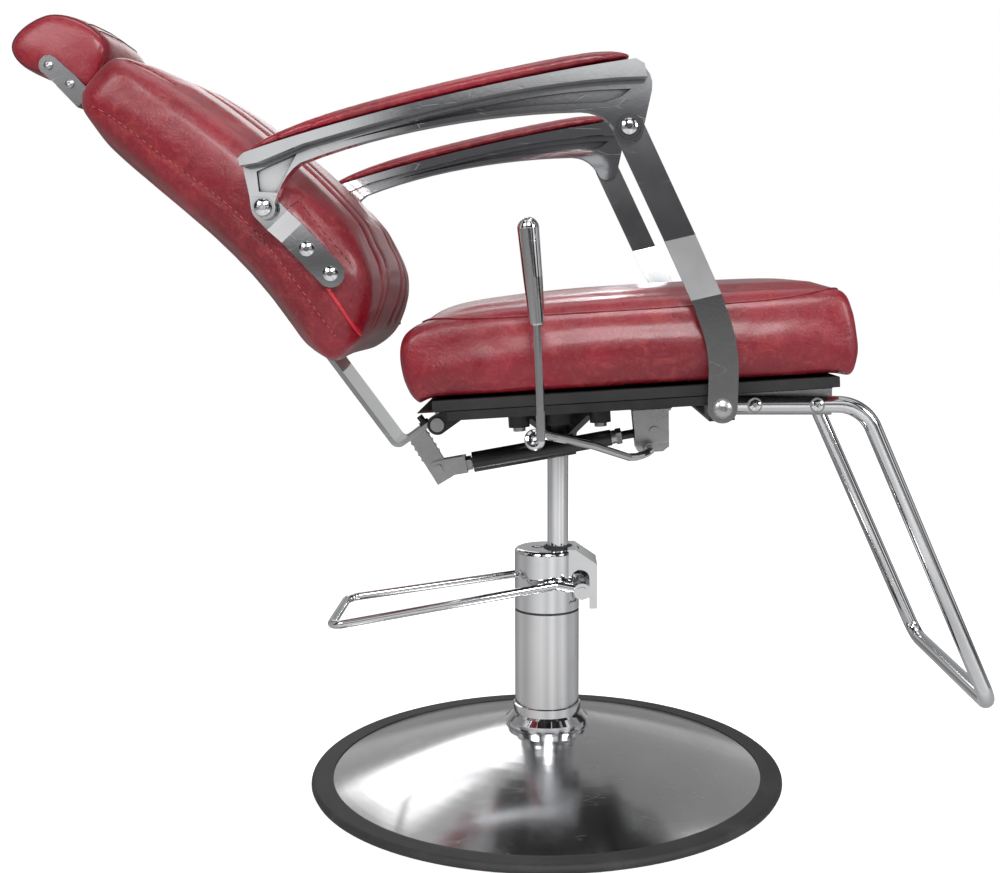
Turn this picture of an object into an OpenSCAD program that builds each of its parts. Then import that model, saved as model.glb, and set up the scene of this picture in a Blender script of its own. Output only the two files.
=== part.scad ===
// Hydraulic salon and barber chair: round base, hydraulic pump, reclining back
// whose arms ride on a four-bar linkage, lockable strut, footrest and headrest.
// +X is the chair's front, +Y its left, +Z up; the origin is the middle of the
// base on the floor. The pose is the back fully reclined and the seat raised.

/* [Base] */
// Diameter of the base over its rubber edge
base_d = 610; // [580:5:640]
// Height of the flat middle of the base dome
dome_h = 70; // [64:1:74]
// Width of the rubber edge ring, seen from above
ring_w = 27; // [22:1:32]

/* [Pump] */
// Diameter of the pump's cover tube and of its head
pump_d = 83; // [81:0.5:85]
// Height of the top of the pump head above the floor
pump_top = 303; // [300:1:305]
// Height of the seal between the cover tube and the head
seal_z = 222; // [216:1:228]
// Distance of the piston from the pump's axis, towards the front
piston_x = 14; // [10:0.5:15]
// Diameter of the piston
piston_d = 27; // [25:0.5:28]
// Length of the foot pedal from its shaft to its foot bar
pedal_l = 313; // [260:1:340]
// Diameter of the pedal's rod
pedal_rod_d = 11; // [9:0.5:12]

/* [Seat] */
// Width of the seat cushion
seat_w = 470; // [440:2:472]
// Angle by which the seat rises towards the front
seat_tilt = 3.5; // [3:0.1:4]
// Height that the cushion's middle is crowned above its sides
seat_crown = 8; // [4:0.5:12]
// Radius of the cushion's edges along its sides
seat_edge = 18; // [16:1:28]

/* [Back] */
// Angle of the reclined back from the vertical
back_lean = 43.5; // [43:0.1:44]
// Width of the back cushion
back_w = 464; // [440:2:465]
// Depth that the rear of the back is crowned at its middle
back_crown = 16; // [14:0.5:18]
// Radius of the back's edges along its sides
back_edge = 34; // [26:1:36]
// Width of the headrest
headrest_w = 170; // [154:2:190]

/* [Arms] */
// Distance of each armrest's web from the middle of the chair
arm_y = 254; // [253:0.5:256]
// Width of each armrest pad
pad_w = 54; // [44:1:58]
// Width of the flat bars that carry the arms
upright_w = 32.5; // [28:0.5:34]
// Thickness of the flat bars and brackets
bar_t = 5; // [4:0.25:5.5]

/* [Footrest] */
// Diameter of the footrest tube
foot_d = 19.5; // [18:0.5:24]
// Length of the footrest's slanting legs
foot_leg = 394; // [340:1:410]

/* [Hidden] */

chrome = "gainsboro";
zinc = "silver";
steel_dark = "dimgray";
black = [0.1, 0.1, 0.1];
red = [0.66, 0.12, 0.18];

fit = 0.05;         // radial clearance of a running fit
smooth = 96;        // facets of large round parts
fine = 48;          // facets of small round parts
bend_lap = 0.6;     // how far straight stretches run into a bend
bend_swell = 0.04;  // how much fuller a bend is than the straight tube

// Pivots of the linkage, as [X, Z]
hinge = [-135, 467];        // back to seat
arm_rear = [-299, 720];     // arm to back
arm_front = [86, 803.5];    // arm to upright bar
upright_foot = [191, 505];  // upright bar to seat
strut_rear = [-134.5, 411.5];
strut_front = [132, 459.5];
lever_axis = [124.6, 440];
pedal_axis = [44, 257];

seat_z = 500;            // height of the seat's own origin
frame_low = -3;          // seat frame, board and cushion, as heights over that origin
frame_high = 7;
board_low = 8;
board_high = 19.5;
back_foot = [-215, 552]; // origin of the back's own axes
strut_y = -44;
strut_lean = atan2(strut_front[1] - strut_rear[1], strut_front[0] - strut_rear[0]);
strut_l = norm(strut_front - strut_rear);
bar_low_y = 240;         // inner face of an upright bar at the seat
bar_high_y = 251.5;      // and at the arm
slot_w = 7;              // slot in the arm that holds the bar's end
open_pivot_d = 11.4;     // bar's hole at the arm, wide because the loop is opened there
foot_y = 170;            // footrest tube beside the seat frame
foot_low_y = 158;        // and at its bottom bar

// ---------- functions ----------
function unit(v) = v / norm(v);
function angle_between(a, b) = acos(max(-1, min(1, a * b / (norm(a) * norm(b)))));
function clamp(v, low, high) = min(high, max(low, v));

// Cubic Bezier from a to d: its point at t, and its first n points of n + 1
function bezier_point(a, b, c, d, t) = let (s = 1 - t)
  s * s * s * a + 3 * s * s * t * b + 3 * s * t * t * c + t * t * t * d;
function bezier(a, b, c, d, n) = [for (i = [0:n - 1]) bezier_point(a, b, c, d, i / n)];

// Arc about c, without its last point
function arc(c, r, from, to, n) =
  [for (i = [0:n - 1]) let (a = from + (to - from) * i / n) c + r * [cos(a), sin(a)]];

// Smooth closed curve through the points p, n steps from each to the next
function closed_curve(p, n) =
  [for (i = [0:len(p) - 1], k = [0:n - 1])
    let (m = len(p), t = k / n, a = p[(i + m - 1) % m], b = p[i], c = p[(i + 1) % m], d = p[(i + 2) % m])
    0.5 * (2 * b + (c - a) * t + (2 * a - 5 * b + 4 * c - d) * t * t + (3 * b - a - 3 * c + d) * t * t * t)];

// Point p drawn by s towards the line from a to b
function drawn_in(p, a, b, s) =
  let (f = clamp((p - a) * (b - a) / ((b - a) * (b - a)), 0, 1), q = a + f * (b - a))
  q + (p - q) * (1 - s / norm(p - q));

// Stations across a cushion of half width w with edge radius r: [place, draw-in]
function stations(w, r, inner, steps = 4) = concat(
  [for (k = [0:steps]) let (a = 90 - 90 * k / steps) [-(w - r) - r * sin(a), r * (1 - cos(a))]],
  [for (y = inner) [y, 0]],
  [for (k = [0:steps]) let (a = 90 * k / steps) [w - r + r * sin(a), r * (1 - cos(a))]]);

// Solid through closed rings of points, closed by a fan at each end
module skin(rings) {
  n = len(rings[0]);
  m = len(rings);
  middles = [for (r = [rings[0], rings[m - 1]]) [for (k = [0:2]) [for (p = r) p[k]] * [for (p = r) 1] / n]];
  walls = [for (j = [0:m - 2], i = [0:n - 1]) let (a = j * n + i, b = j * n + (i + 1) % n)
    each [[a, b, a + n], [b, b + n, a + n]]];
  ends = [for (i = [0:n - 1]) let (k = (i + 1) % n)
    each [[k, i, m * n], [(m - 1) * n + i, (m - 1) * n + k, m * n + 1]]];
  polyhedron(concat([for (r = rings) each r], middles), concat(walls, ends));
}

// ---------- modules for shapes that repeat ----------
module mirrored(side) {
  if (side > 0) children();
  else mirror([0, 1, 0]) children();
}

module both_sides() {
  children();
  mirror([0, 1, 0]) children();
}

// The seat's own axes: X forwards along the cushion, Z up from the frame
module on_seat() translate([piston_x, 0, seat_z]) rotate([0, -seat_tilt, 0]) children();

// The back's own axes: X out of the cushion's front, Z up along the back
module on_back() translate([back_foot[0], 0, back_foot[1]]) rotate([0, -back_lean, 0]) children();

// The strut's own axes: X from its front pivot to its rear one
module on_strut() translate([strut_front[0], strut_y, strut_front[1]]) rotate([0, 180 - strut_lean, 0])
  children();

// Cylinder across the chair, from y0 to y1, at p = [X, Z]
module across(p, y0, y1, d, fn = fine) {
  translate([p[0], y0, p[1]]) rotate([-90, 0, 0]) cylinder(d = d, h = y1 - y0, $fn = fn);
}

// Profile drawn in X and Z, extruded from y0 to y1
module plate(y0, y1) {
  translate([0, y1, 0]) rotate([90, 0, 0]) linear_extrude(y1 - y0) children();
}

// Moves to o, with the X axis along x and the Z axis along z
module frame_to(o, x, z) {
  y = cross(z, x);
  multmatrix([[x[0], y[0], z[0], o[0]], [x[1], y[1], z[1], o[1]], [x[2], y[2], z[2], o[2]], [0, 0, 0, 1]])
    children();
}

// Round bar of diameter d through the points p, bent to the radius radii[i] at p[i]
module bent_rod(p, radii, d) {
  n = len(p);
  cut = [for (i = [0:n - 1])
    i == 0 || i == n - 1 ? 0 : radii[i] * tan(angle_between(p[i] - p[i - 1], p[i + 1] - p[i]) / 2)];
  for (i = [0:n - 2]) {
    z = unit(p[i + 1] - p[i]);
    from = p[i] + z * (cut[i] - (i > 0 ? bend_lap : 0));
    to = p[i + 1] - z * (cut[i + 1] - (i < n - 2 ? bend_lap : 0));
    x = unit(cross(abs(z[2]) > 0.9 ? [1, 0, 0] : [0, 0, 1], z));
    frame_to(from, x, z) rotate(40) cylinder(d = d, h = norm(to - from), $fn = fine);
  }
  for (i = [1:n - 2]) {
    u = unit(p[i] - p[i - 1]);
    v = unit(p[i + 1] - p[i]);
    z = unit(cross(u, v));
    inward = cross(z, u);
    r = radii[i];
    frame_to(p[i] - u * cut[i] + inward * r, -inward, z)
      rotate_extrude(angle = angle_between(u, v), $fn = smooth)
        translate([r, 0]) circle(d = d + 2 * bend_swell, $fn = fine);
  }
}

// Flat bar of width w from y0 to y1, about the line through the points p, with round ends
module flat_bar(p, w, y0, y1) {
  n = len(p);
  side = [for (i = [0:n - 1]) let (t = unit(p[min(i + 1, n - 1)] - p[max(i - 1, 0)]))
    [-t[1], t[0]] * (w / 2 - 0.03)];
  plate(y0, y1)
    polygon(concat([for (i = [0:n - 1]) p[i] + side[i]], [for (i = [n - 1:-1:0]) p[i] - side[i]]));
  across(p[0], y0, y1, w);
  across(p[n - 1], y0, y1, w);
}

// Button-head screw with a hexagon socket, its head's seat at the origin, shank along -Z
module button_screw(d, head_d, l) {
  head_h = head_d * 0.28;
  difference() {
    union() {
      intersection() {
        cylinder(d = head_d, h = head_h, $fn = fine);
        translate([0, 0, head_h - head_d]) sphere(r = head_d, $fn = smooth);
      }
      translate([0, 0, -l]) cylinder(d = d, h = l + 0.5, $fn = fine);
    }
    translate([0, 0, head_h * 0.35]) cylinder(d = head_d * 0.42, h = head_h, $fn = 6);
  }
}

// Hexagon-head bolt, its head's seat at the origin, head below, shank along +Z
module hex_bolt(d, l) {
  translate([0, 0, -d * 0.65]) cylinder(d = d * 1.9, h = d * 0.65, $fn = 6);
  cylinder(d = d, h = l, $fn = fine);
}

// ---------- base ----------
dome_rim = base_d / 2 - 20;   // radius at which the dome's edge sits in the ring
dome_flat = 54;               // radius of the flat middle
dome_edge_z = 8.5;            // height of the dome's edge
dome_wall = 3;
dome_steps = 14;

function dome_line(lift) = [for (i = [0:dome_steps])
  let (f = i / dome_steps, r = dome_flat + (dome_rim - dome_flat) * f)
  [r, dome_edge_z + (dome_h - dome_edge_z) * (1 - pow(f, 1.25)) + lift]];

module base_dome() color(chrome) {
  outer = dome_line(0);
  inner = dome_line(-dome_wall);
  difference() {
    rotate_extrude($fn = smooth)
      polygon(concat([[37, dome_h - dome_wall], [37, dome_h]], outer,
        [for (i = [dome_steps:-1:0]) inner[i]]));
    base_bolt_ring() translate([0, 0, dome_h - dome_wall - 1])
      cylinder(d = 6.4, h = dome_wall + 2, $fn = fine);
  }
}

module base_ring() color(black) {
  outer = base_d / 2;
  inner = outer - ring_w;
  seat = dome_edge_z - dome_wall;    // height at which the dome rests in the ring
  rotate_extrude($fn = smooth) difference() {
    polygon(concat([[inner - 8, 0], [outer - 8, 0], [outer - 2, 2], [outer, 6]],
      arc([outer - 6.5, 6], 6.5, 0, 90, 6), [[inner + 4, 12.5], [inner, 12.2], [inner - 8, 4]]));
    polygon([[0, seat + 0.5], [dome_rim + 0.2, seat], [dome_rim + 0.2, dome_edge_z + 0.3],
      [inner, dome_edge_z + 2.8], [inner - 8, dome_edge_z + 5.5], [0, 30]]);
  }
}

module base_plate() color(steel_dark) difference() {
  translate([0, 0, dome_h - dome_wall - 6]) cylinder(r = 52, h = 6, $fn = smooth);
  translate([0, 0, dome_h - dome_wall - 7]) cylinder(r = 37, h = 8, $fn = smooth);
  base_bolt_ring() translate([0, 0, dome_h - dome_wall - 7]) cylinder(d = 6.4, h = 8, $fn = fine);
}

module base_bolt_ring() for (i = [0:3]) rotate([0, 0, 45 + 90 * i]) translate([44.5, 0, 0]) children();

module base_bolts() color(zinc) base_bolt_ring()
  translate([0, 0, dome_h - dome_wall - 6]) hex_bolt(6, 15.5);

module base_collar() color(chrome) rotate_extrude($fn = smooth)
  polygon([[51.5, dome_h], [53.5, dome_h + 2.5], [53.5, dome_h + 9], [51.5, dome_h + 11],
    [47, dome_h + 15.5], [44, dome_h + 18], [43.6, dome_h + 28.5], [pump_d / 2 + 0.1, dome_h + 29.5],
    [pump_d / 2 + 0.1, dome_h + 9], [49.5, dome_h + 9], [49.5, dome_h]]);

barrel_bore = 31;      // radius inside the barrel

module pump_barrel() color(steel_dark) difference() {
  union() {
    translate([0, 0, 35]) cylinder(r = 36, h = seal_z + 3 - 35, $fn = smooth);
    translate([0, 0, dome_h]) cylinder(r = 49.4, h = 8.5, $fn = smooth);
  }
  translate([0, 0, 40]) cylinder(r = barrel_bore, h = seal_z, $fn = smooth);
  base_bolt_ring() translate([0, 0, dome_h - 1]) cylinder(d = 6, h = 8, $fn = fine);
}

module tube(r_out, r_in, z0, z1) translate([0, 0, z0]) difference() {
  cylinder(r = r_out, h = z1 - z0, $fn = smooth);
  translate([0, 0, -1]) cylinder(r = r_in, h = z1 - z0 + 2, $fn = smooth);
}

module pump_cover() color(chrome) tube(pump_d / 2, pump_d / 2 - 2.5, dome_h + 9, seal_z);

module pump_seal() color(steel_dark) tube(pump_d / 2 - 0.6, 36, seal_z, seal_z + 3);

lug_x = 31.5;          // bottom of the pocket in the head that holds the lug

module pump_head() color(chrome) difference() {
  rotate_extrude($fn = smooth) polygon(concat([[0, seal_z + 3], [pump_d / 2, seal_z + 3]],
    arc([pump_d / 2 - 5, pump_top - 5], 5, 0, 90, 6), [[pump_d / 2 - 5, pump_top], [0, pump_top]]));
  translate([piston_x, 0, seal_z]) cylinder(d = piston_d + 2 * fit, h = 100, $fn = smooth);
  translate([-12, 0, pump_top - 6]) cylinder(d = 16, h = 10, $fn = fine);
  translate([lug_x, -24, pedal_axis[1] - 16]) cube([20, 48, 32]);
}

module filler_screw() color(zinc) translate([-12, 0, pump_top - 6]) difference() {
  cylinder(d = 15.6, h = 4.5, $fn = fine);
  translate([0, 0, 1.5]) cylinder(d = 7, h = 4, $fn = 6);
}

module piston_wiper() color(steel_dark) translate([piston_x, 0, pump_top]) rotate_extrude($fn = smooth)
  polygon([[piston_d / 2 + fit, 0], [18.5, 0], [18.5, 1], [15.5, 3], [piston_d / 2 + fit, 3]]);

// Folded sheet over the pedal's shaft: outline of one cheek, as [X, Z]
hood_t = 3;
hood_y = 31;
hood_front = 64;
hood_low = 229;
module hood_outline(grow) polygon([[0, pump_top + 2 + grow], [36, pump_top + 2 + grow],
  [hood_front + grow, 286], [hood_front + grow, hood_low], [0, hood_low]]);

module pedal_hood() color(chrome) difference() {
  plate(-hood_y, hood_y) hood_outline(0);
  plate(-hood_y + hood_t, hood_y - hood_t) translate([0, -0.1]) hood_outline(-hood_t);
  plate(-hood_y - 1, hood_y + 1) {
    translate([42.5, 268]) circle(r = 11.5, $fn = fine);
    translate([31, 200]) square([23, 68]);
    translate([0, 200]) square([40, 66]);
  }
  translate([0, 0, 200]) cylinder(d = pump_d, h = pump_top - 200, $fn = smooth);
  translate([piston_x, 0, 290]) cylinder(r = 19, h = 30, $fn = smooth);
  translate([0, 0, pump_top - 1]) translate([-50, -50, 0]) cube([76, 100, 10]);
}

module pedal_lug() color(steel_dark) difference() {
  union() {
    translate([lug_x, -24, pedal_axis[1] - 16]) cube([pedal_axis[0] - lug_x - 0.5, 48, 32]);
    for (y = [-24, 12]) across(pedal_axis, y, y + 12, 24);
  }
  across(pedal_axis, -30, 30, 14 + 2 * fit);
}

module pedal_shaft() color(zinc) across(pedal_axis, -43, 43, 14);

pedal_y = 49;                // middle of each boss
pedal_foot_y = 75;           // arms at the foot bar
module pump_pedal() color(chrome) {
  fall = 0.164;              // slope of the arms down to the foot bar
  bow = [12, 264];           // where the arms bow over the head, as [X, Z]
  bow_y = pedal_y + 3;
  foot = [pedal_axis[0] - pedal_l, bow[1] - (bow[0] - pedal_axis[0] + pedal_l) * fall];
  arm = [[pedal_axis[0], pedal_y, pedal_axis[1]], [bow[0], bow_y, bow[1]], [foot[0], pedal_foot_y, foot[1]]];
  bent_rod([for (side = [-1, 1], i = side < 0 ? [0:2] : [2:-1:0]) [arm[i][0], side * arm[i][1], arm[i][2]]],
    [0, 16, 16, 16, 16, 0], pedal_rod_d);
  both_sides() {
    across(pedal_axis, -56, -43, 21);
    across(pedal_axis, -58.5, -56, 12);
  }
}

// ---------- piston and seat mount ----------
piston_low = 150;
hub_low = 430;
hub_high = 472;

module piston() color(chrome) translate([piston_x, 0, piston_low]) {
  cylinder(d = piston_d, h = hub_high - 2 - piston_low, $fn = smooth);
  cylinder(r = barrel_bore - piston_x - 0.5, h = 12, $fn = smooth);
}

mount_bolt = [50, 60];   // places of the mount's bolts, from the piston's axis
boss_low = -32;

module on_bosses() for (x = [-1, 1], y = [-1, 1])
  translate([x * mount_bolt[0], y * mount_bolt[1], 0]) children();

module seat_mount() color(black) difference() {
  union() {
    translate([piston_x, 0, hub_low]) cylinder(r1 = 20, r2 = 29, h = hub_high - hub_low, $fn = smooth);
    on_seat() {
      translate([0, 0, -36]) cylinder(r = 33, h = 33, $fn = smooth);
      for (x = [-1, 1], y = [-1, 1]) rotate([0, 0, atan2(y * mount_bolt[1], x * mount_bolt[0])])
        plate(-7, 7) polygon([[0, -54], [22, -50], [62, boss_low + 8], [70, boss_low + 8],
          [70, frame_low - 0.5],
          [0, frame_low - 0.5]]);
      on_bosses() translate([0, 0, boss_low]) cylinder(r = 13, h = frame_low - boss_low, $fn = fine);
    }
  }
  translate([piston_x, 0, hub_low - 1])
    cylinder(d = piston_d + 2 * fit, h = hub_high - hub_low + 1, $fn = smooth);
  on_seat() on_bosses() translate([0, 0, boss_low - 1]) cylinder(d = 8.4, h = 40, $fn = fine);
}

module mount_bolts() color(zinc) on_seat() on_bosses() translate([0, 0, boss_low]) hex_bolt(8, 38);

// ---------- seat ----------
rail_y = [200, 225];        // inner and outer sides of the seat frame's side rails
rail_x = [-124, 190];
cross_x = [[-124, -94], [-65, -35], [35, 65], [93, 138]];
foot_block = [163, 191];    // cross tube that carries the upright bars
ear_y = 50;                 // inner side of the hinge ears
ear_t = 7;

module seat_frame() color(black) difference() {
  union() {
    on_seat() {
      both_sides() translate([rail_x[0], rail_y[0], frame_low])
        cube([rail_x[1] - rail_x[0], rail_y[1] - rail_y[0], frame_high - frame_low]);
      for (c = cross_x) translate([c[0], -rail_y[0], frame_low])
        cube([c[1] - c[0], 2 * rail_y[0], frame_high - frame_low]);
      translate([foot_block[0], -bar_low_y + 4, -20])
        cube([foot_block[1] - foot_block[0], 2 * bar_low_y - 8, 27]);
      translate([cross_x[3][0], strut_y - 22, -20]) cube([cross_x[3][1] - cross_x[3][0], 44, 20]);
    }
    both_sides() plate(ear_y, ear_y + ear_t) {
      translate(hinge) circle(r = 12.5, $fn = fine);
      polygon([hinge + [-11, 6], hinge + [24, 31], hinge + [53, 33], hinge + [53, 23], hinge + [8, -9.5]]);
    }
  }
  both_sides() across(hinge, ear_y - 1, ear_y + ear_t + 1, 12);
  both_sides() across(upright_foot, bar_low_y - 40, bar_low_y + 10, 10);
  on_seat() {
    on_bosses() translate([0, 0, frame_low - 1]) cylinder(d = 8.4, h = 12, $fn = fine);
    translate([foot_block[0] - 1, -bar_low_y + 45, -17]) cube([40, 2 * bar_low_y - 90, 21]);
  }
}

module dust_cover() color(black) on_seat() translate([-157, -222, frame_high]) cube([459, 444, 1]);

module seat_board() color(black) on_seat() difference() {
  translate([-140, -224, board_low]) cube([450, 448, board_high - board_low]);
  on_bosses() translate([0, 0, board_low - 1]) cylinder(d = 14, h = 20, $fn = fine);
}

// Side outline of the seat cushion, as [forwards, up]
seat_side = [[-157, 14], [-171, 37], [-176, 72], [-166, 98], [-118, 114], [0, 121], [110, 122],
  [220, 122], [300, 120], [326, 108], [336, 56], [331, 24], [321, 15], [311.5, 20.5], [290, 20.5],
  [240, 20.5], [120, 20.5], [0, 20.5], [-80, 20.5], [-120, 20.5], [-143, 20.3]];

module seat_cushion() color(red) on_seat() {
  half = seat_w / 2;
  draw = 4;                 // how far the sides pull in between the corners
  outline = closed_curve(seat_side, 3);
  inner = [-150, -100, -50, 0, 50, 100, 150];
  skin([for (s = stations(half, seat_edge, inner))
    [for (p = outline) let (q = drawn_in(p, [-120, 68], [285, 68], s[1]), long = (q[0] - 80) / 256,
        pull = draw * (1 - long * long) * pow(abs(s[0]) / half, 8),
        swell = seat_crown * (1 - pow(s[0] / half, 2)) * clamp((q[1] - 60) / 60, 0, 1)
          * (1 - 0.5 * pow(long, 2)))
      [q[0], s[0] - sign(s[0]) * pull, q[1] + swell]]]);
}

module hinge_pin() color(zinc) {
  across(hinge, -ear_y - ear_t - 2, ear_y + ear_t + 2, 12);
  both_sides() across(hinge, ear_y + ear_t, ear_y + ear_t + 4, 17);
}

// ---------- strut, its bracket and the release lever ----------
cheek_y = 15;    // inner side of the bracket's cheeks, from the strut's axis
cheek_t = 3;

module strut_bracket() color(zinc) difference() {
  union() {
    for (y = [-cheek_y - cheek_t, cheek_y]) translate([0, strut_y, 0]) plate(y, y + cheek_t)
      polygon([[105, 484.5], [149.5, 487], [150.5, 441], [143, 435], [114, 433], [110, 437]]);
    on_seat() translate([cross_x[3][0], strut_y - cheek_y - cheek_t, -23])
      cube([cross_x[3][1] - cross_x[3][0] - 1, 2 * (cheek_y + cheek_t), 3]);
  }
  across(strut_front, strut_y - 30, strut_y + 30, 8);
  across(lever_axis, strut_y - 30, strut_y + 30, 14);
}

module strut_pin() color(zinc) {
  y = strut_y - cheek_y - cheek_t;
  across(strut_front, y - 1, strut_y + cheek_y + cheek_t + 5, 8);
  across(strut_front, y - 4.5, y, 12.5);
}

module lever_sleeve() color(zinc) difference() {
  across(lever_axis, strut_y - 37, strut_y + cheek_y + cheek_t + 3, 14);
  across(lever_axis, strut_y - 38, strut_y + 30, 9.5 + 2 * fit);
}

eye_r = 9.5;
stud_x = [8, 47];          // places along the strut, from its front pivot
sleeve_x = [53, 99];
body_x = [99, 227.5];
rod_d = 10;

module strut_cylinder() color(black) on_strut() difference() {
  union() {
    translate([0, cheek_y - 3, 0]) rotate([90, 0, 0]) cylinder(r = eye_r, h = 2 * cheek_y - 6, $fn = fine);
    translate([stud_x[0], 0, 0]) rotate([0, 90, 0]) cylinder(d = 11, h = stud_x[1], $fn = fine);
    translate([sleeve_x[0], 0, 0]) rotate([0, 90, 0])
      cylinder(d = 20, h = sleeve_x[1] - sleeve_x[0] + 1, $fn = fine);
    translate([body_x[0], 0, 0]) rotate([0, 90, 0]) cylinder(d = 25.5, h = body_x[1] - body_x[0], $fn = fine);
  }
  translate([0, cheek_y, 0]) rotate([90, 0, 0]) cylinder(d = 8 + 2 * fit, h = 2 * cheek_y, $fn = fine);
  translate([body_x[0] + 40, 0, 0]) rotate([0, 90, 0]) cylinder(d = rod_d + 2 * fit, h = 100, $fn = fine);
}

module strut_nut() color(zinc) on_strut() difference() {
  union() {
    translate([40, 0, 0]) rotate([0, 90, 0]) cylinder(d = 20, h = 7, $fn = 6);
    translate([47, 0, 0]) rotate([0, 90, 0]) cylinder(d = 17, h = 6, $fn = fine);
  }
  translate([39, 0, 0]) rotate([0, 90, 0]) cylinder(d = 11, h = 16, $fn = fine);
}

clevis_in = 8.2;   // half the gap between the clevis cheeks
clevis_out = 12;

module strut_rod() color(zinc) on_strut() {
  translate([body_x[0] + 65, 0, 0]) rotate([0, 90, 0]) cylinder(d = rod_d, h = 74.5, $fn = fine);
  translate([body_x[1] + 1.5, 0, 0]) rotate([0, 90, 0]) cylinder(d = 18, h = 6.5, $fn = 6);
}

module strut_clevis() color(zinc) on_strut() difference() {
  union() {
    translate([strut_l, clevis_out, 0]) rotate([90, 0, 0]) cylinder(r = 10.5, h = 2 * clevis_out, $fn = fine);
    translate([body_x[1] + 8, -clevis_out, -10.5]) cube([strut_l - body_x[1] - 8, 2 * clevis_out, 21]);
  }
  translate([body_x[1] + 12, -clevis_in, -20]) cube([60, 2 * clevis_in, 40]);
  translate([strut_l, 20, 0]) rotate([90, 0, 0]) cylinder(d = 8, h = 40, $fn = fine);
  translate([body_x[1], 0, 0]) rotate([0, 90, 0]) cylinder(d = rod_d, h = 20, $fn = fine);
}

module clevis_pin() color(zinc) on_strut() {
  translate([strut_l, clevis_out, 0]) rotate([90, 0, 0]) cylinder(d = 8, h = 2 * clevis_out + 1, $fn = fine);
  translate([strut_l, -clevis_out, 0]) rotate([90, 0, 0]) cylinder(d = 12, h = 3, $fn = fine);
}

lever_rod_d = 9.5;
lever_y = -285;             // plane in which the lever's upright part stands
loop_c = [-13, 475];        // middle of the lever's loop, as [X, Z]
loop_r = 6.6;
loop_steps = 20;
loop_pitch = 11;

// Route of the lever's rod: out of the sleeve, aslant to the side, one turn, and up
lever_route = concat(
  [[124.6, -76, 440], [124.6, -90, 440], [124, -96, 439.5], [121, -101, 438], [115, -105, 436],
    [107, -110, 434.5], [97, -121, 435.5], [50, -195, 459]],
  [for (i = [0:loop_steps]) let (a = 80 + 280 * i / loop_steps)
    [loop_c[0] + loop_r * cos(a), lever_y + loop_pitch * (1 - i / loop_steps), loop_c[1] + loop_r * sin(a)]],
  [[-6.6, lever_y, 490], [-8, lever_y, 540], [-10.4, lever_y, 600]]);

function turned(v, from, to) = let (w = cross(from, to), c = from * to)
  v * c + cross(w, v) + w * (w * v) / (1 + c);

// Tube along a route, its rings turned as little as may be from one to the next
module swept(route, d, sides) {
  n = len(route);
  dirs = [for (i = [0:n - 1]) unit(unit(route[min(i + 1, n - 1)] - route[min(i, n - 2)])
    + unit(route[max(i, 1)] - route[max(i - 1, 0)]))];
  start = unit(cross(dirs[0], [0, 0, 1]));
  normals = [for (i = 0, v = start; i < n; i = i + 1, v = i < n ? turned(v, dirs[i - 1], dirs[i]) : v) v];
  skin([for (i = [0:n - 1]) let (side = cross(dirs[i], normals[i]))
    [for (k = [0:sides - 1]) let (a = -360 * k / sides)
      route[i] + d / 2 * (normals[i] * cos(a) + side * sin(a))]]);
}

module release_lever() color(chrome) {
  across(lever_axis, lever_route[1][1] + 4, strut_y + cheek_y + cheek_t + 3, lever_rod_d);
  swept(lever_route, lever_rod_d - 0.1, 10);
}

module lever_grip() color(steel_dark) {
  low = [-10, 597];
  high = [-20.5, 709];
  length = norm(high - low);
  translate([low[0], lever_y, low[1]]) rotate([0, -atan2(low[0] - high[0], high[1] - low[1]), 0])
    rotate_extrude($fn = fine) polygon(concat([[0, 0], [7, 0], [8.3, 1.5], [10.2, 50], [11.4, length - 12]],
      arc([0, length - 11.5], 11.5, 0, 90, 8), [[0, length]]));
}

// ---------- footrest ----------
foot_top = [362, 503];     // corner where the tube turns down, as [X, Z]
foot_fall = 24.4;          // angle of the legs from the vertical

module footrest_bend() {
  low = foot_top + foot_leg * [sin(foot_fall), -cos(foot_fall)];
  bent_rod([for (p = [[[206, foot_top[1]], -foot_y], [foot_top, -foot_y], [low, -foot_low_y],
      [low, foot_low_y], [foot_top, foot_y], [[206, foot_top[1]], foot_y]]) [p[0][0], p[1], p[0][1]]],
    [0, 46, 24, 24, 46, 0], foot_d);
}

module footrest_tube() color(chrome) difference() {
  footrest_bend();
  for (x = foot_bolt_x) across([x, foot_top[1]], -foot_y - foot_d, foot_y + foot_d, 8);
}

foot_bolt_x = [236, 307];

module footrest_plates() color(zinc) both_sides() {
  y = foot_y - foot_d / 2 - 3;
  difference() {
    union() {
      plate(y, y + 3) polygon([[212, 490], [328, 490], [328, 525], [212, 518]]);
      on_seat() translate([198.5, y - 32, frame_high - 3]) cube([113, 35, 3]);
    }
    for (x = foot_bolt_x) across([x, foot_top[1]], y - 1, y + 5, 8);
  }
}

module footrest_bolts() color(chrome) both_sides() for (x = foot_bolt_x) {
  y = foot_y + foot_d / 2;
  nut_y = foot_y - foot_d / 2 - 3;
  difference() {
    across([x, foot_top[1]], y - 4, y + 1.6, 17);
    translate([x - 20, foot_y, foot_top[1]]) rotate([0, 90, 0]) cylinder(d = foot_d, h = 40, $fn = fine);
  }
  translate([x, y + 1.6, foot_top[1]]) rotate([-90, 0, 0]) button_screw(8, 13, y + 1.6 - nut_y);
  translate([x, nut_y - 7, foot_top[1]]) rotate([-90, 0, 0]) cylinder(d = 15, h = 7, $fn = 6);
}

module upright_bolts() color(zinc) both_sides() {
  y = bar_low_y + bar_t;
  translate([upright_foot[0], y + 2, upright_foot[1]]) rotate([-90, 0, 0]) button_screw(10, 18, 32);
  difference() {
    across(upright_foot, y + 0.3, y + 2, 22);
    across(upright_foot, y - 1, y + 3, 10);
  }
}

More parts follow.
